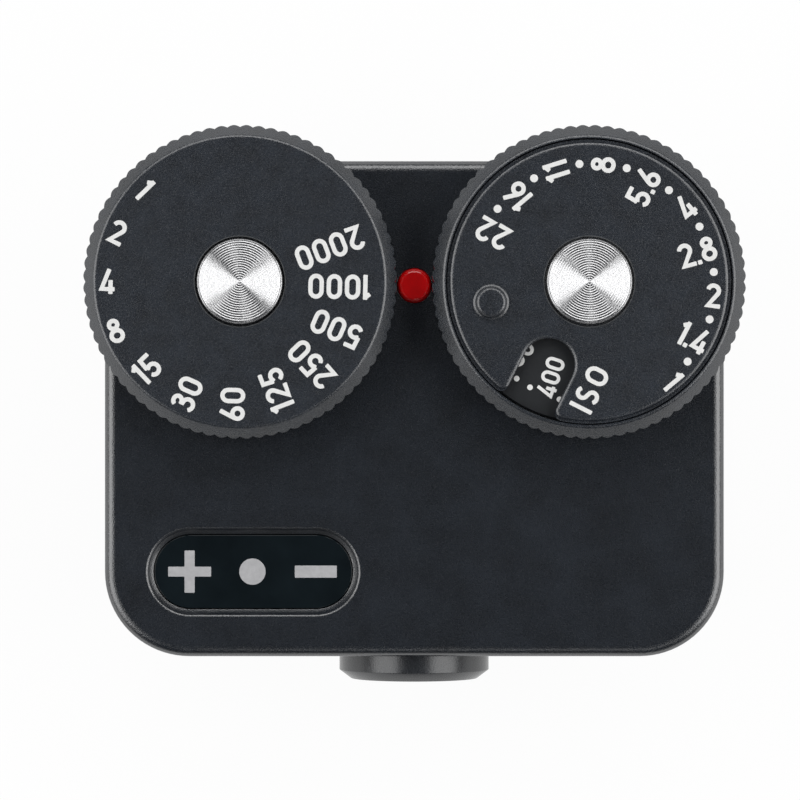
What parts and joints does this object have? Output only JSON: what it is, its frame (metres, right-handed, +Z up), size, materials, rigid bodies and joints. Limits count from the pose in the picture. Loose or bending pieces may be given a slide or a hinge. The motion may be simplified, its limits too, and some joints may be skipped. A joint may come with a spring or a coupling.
{
  "type": "shoe mount light meter",
  "caption": "Small black metal light meter with a shutter time dial, an aperture and film speed dial, a lit display window, a front sensor and an accessory shoe foot.",
  "frame": {"origin": "centre of the shoe foot's lower face", "axes": "+Z up through the dials, -Y towards the scene (the sensor's side), +Y towards the user, +X to the right as seen from above with the user's side up"},
  "size_m": [0.0464, 0.0394, 0.0232],
  "materials": {
    "body_black": "fine bead-blasted black anodised aluminium",
    "dial_black": "satin black anodised aluminium, knurled",
    "bezel_black": "turned black anodised aluminium",
    "spun_alloy": "spun with fine concentric rings",
    "foot_steel": "brushed stainless steel",
    "screw_steel": "plain steel",
    "black_screw": "black oxide steel",
    "brass": "turned brass",
    "spring_steel": "spring wire",
    "gold_contact": "gold flashed contact",
    "window_black": "polished smoked acrylic",
    "symbol_grey": "satin diffuser",
    "lamp_white": "clear lamp resin",
    "guide_black": "moulded black nylon",
    "jewel_red": "polished red resin",
    "wiper_ivory": "moulded acetal",
    "lens_glass": "polished",
    "filter_glass": "blue-green filter glass",
    "diode_dark": "clear epoxy over silicon",
    "board_green": "solder mask on glass epoxy",
    "chip_black": "moulded epoxy",
    "ribbon_amber": "polyimide film",
    "cell_steel": "nickel plated steel",
    "seal_rubber": "nitrile rubber",
    "button_black": "turned black anodised aluminium",
    "plunger_white": "moulded nylon"
  },
  "bodies": {
    "meter_body": {"housing": "body_black", "base_plate": "body_black", "base_screws": "black_screw", "shoe_foot_plate": "foot_steel", "shoe_foot_neck": "foot_steel", "foot_screws": "screw_steel", "window_glass": "window_black", "window_symbols": "symbol_grey", "light_guide": "guide_black", "indicator_lamps": "lamp_white", "index_jewel": "jewel_red", "shutter_bush": "brass", "shutter_bush_nut": "brass", "aperture_bush": "brass", "aperture_bush_nut": "brass", "detent_balls": "screw_steel", "detent_springs": "spring_steel", "sensor_bezel": "bezel_black", "sensor_nut": "brass", "sensor_lens": "lens_glass", "sensor_filter": "filter_glass", "photodiode": "diode_dark", "sensor_board": "board_green", "sensor_ribbon": "ribbon_amber", "main_board": "board_green", "board_chips": "chip_black", "contact_tracks": "gold_contact", "board_screws": "screw_steel", "cell_holder": "guide_black", "button_cells": "cell_steel", "upper_contact": "spring_steel", "button_spring": "spring_steel", "measure_switch": "chip_black"},
    "shutter": {"shutter_dial": "dial_black", "shutter_cap": "spun_alloy", "shutter_screw": "screw_steel", "shutter_shaft": "brass", "shutter_clip": "spring_steel", "shutter_wiper": "wiper_ivory", "shutter_brush": "gold_contact"},
    "aperture": {"aperture_ring": "dial_black", "film_speed_disc": "dial_black", "friction_washer": "brass", "aperture_collar": "brass", "aperture_cap": "spun_alloy", "aperture_screw": "screw_steel", "aperture_shaft": "brass", "aperture_clip": "spring_steel", "aperture_wiper": "wiper_ivory", "aperture_brush": "gold_contact"},
    "numbered_face": {"aperture_face": "dial_black", "finger_pin": "dial_black"},
    "button": {"measure_button": "button_black", "switch_plunger": "plunger_white"},
    "seal_carrier": {"cap_seal": "seal_rubber"},
    "battery_cap": {"cell_cap": "foot_steel", "cap_contact": "spring_steel"}
  },
  "joints": [
    {"name": "shutter_turn", "type": "hinge", "parent": "meter_body", "child": "shutter", "pos_m": [-0.01222, 0.003, 0.0205], "axis": [0, 0, 1], "range_deg": [-22.5, 225]},
    {"name": "aperture_turn", "type": "hinge", "parent": "meter_body", "child": "aperture", "pos_m": [0.01222, 0.003, 0.0205], "axis": [0, 0, 1], "range_deg": [-11.25, 281.25]},
    {"name": "film_speed_turn", "type": "hinge", "parent": "aperture", "child": "numbered_face", "pos_m": [0.01222, 0.003, 0.0222], "axis": [0, 0, 1], "range_deg": [-67.5, 90]},
    {"name": "button_press", "type": "slide", "parent": "meter_body", "child": "button", "axis": [0, -1, 0], "range_m": [0, 0.0006], "stiffness_N_per_m": 800, "springref_m": -0.0006, "deforming": ["button_spring"]},
    {"name": "cap_travel", "type": "slide", "parent": "meter_body", "child": "seal_carrier", "axis": [0, 0, -1], "range_m": [0, 0.0015]},
    {"name": "cap_turn", "type": "hinge", "parent": "seal_carrier", "child": "battery_cap", "pos_m": [0.0134, -0.0149, 0.0037], "axis": [0, 0, -1], "range_deg": [0, 720]}
  ],
  "couplings": [
    {"joint": "cap_turn", "follows": "cap_travel", "rad_per_m": 8377.6}
  ]
}
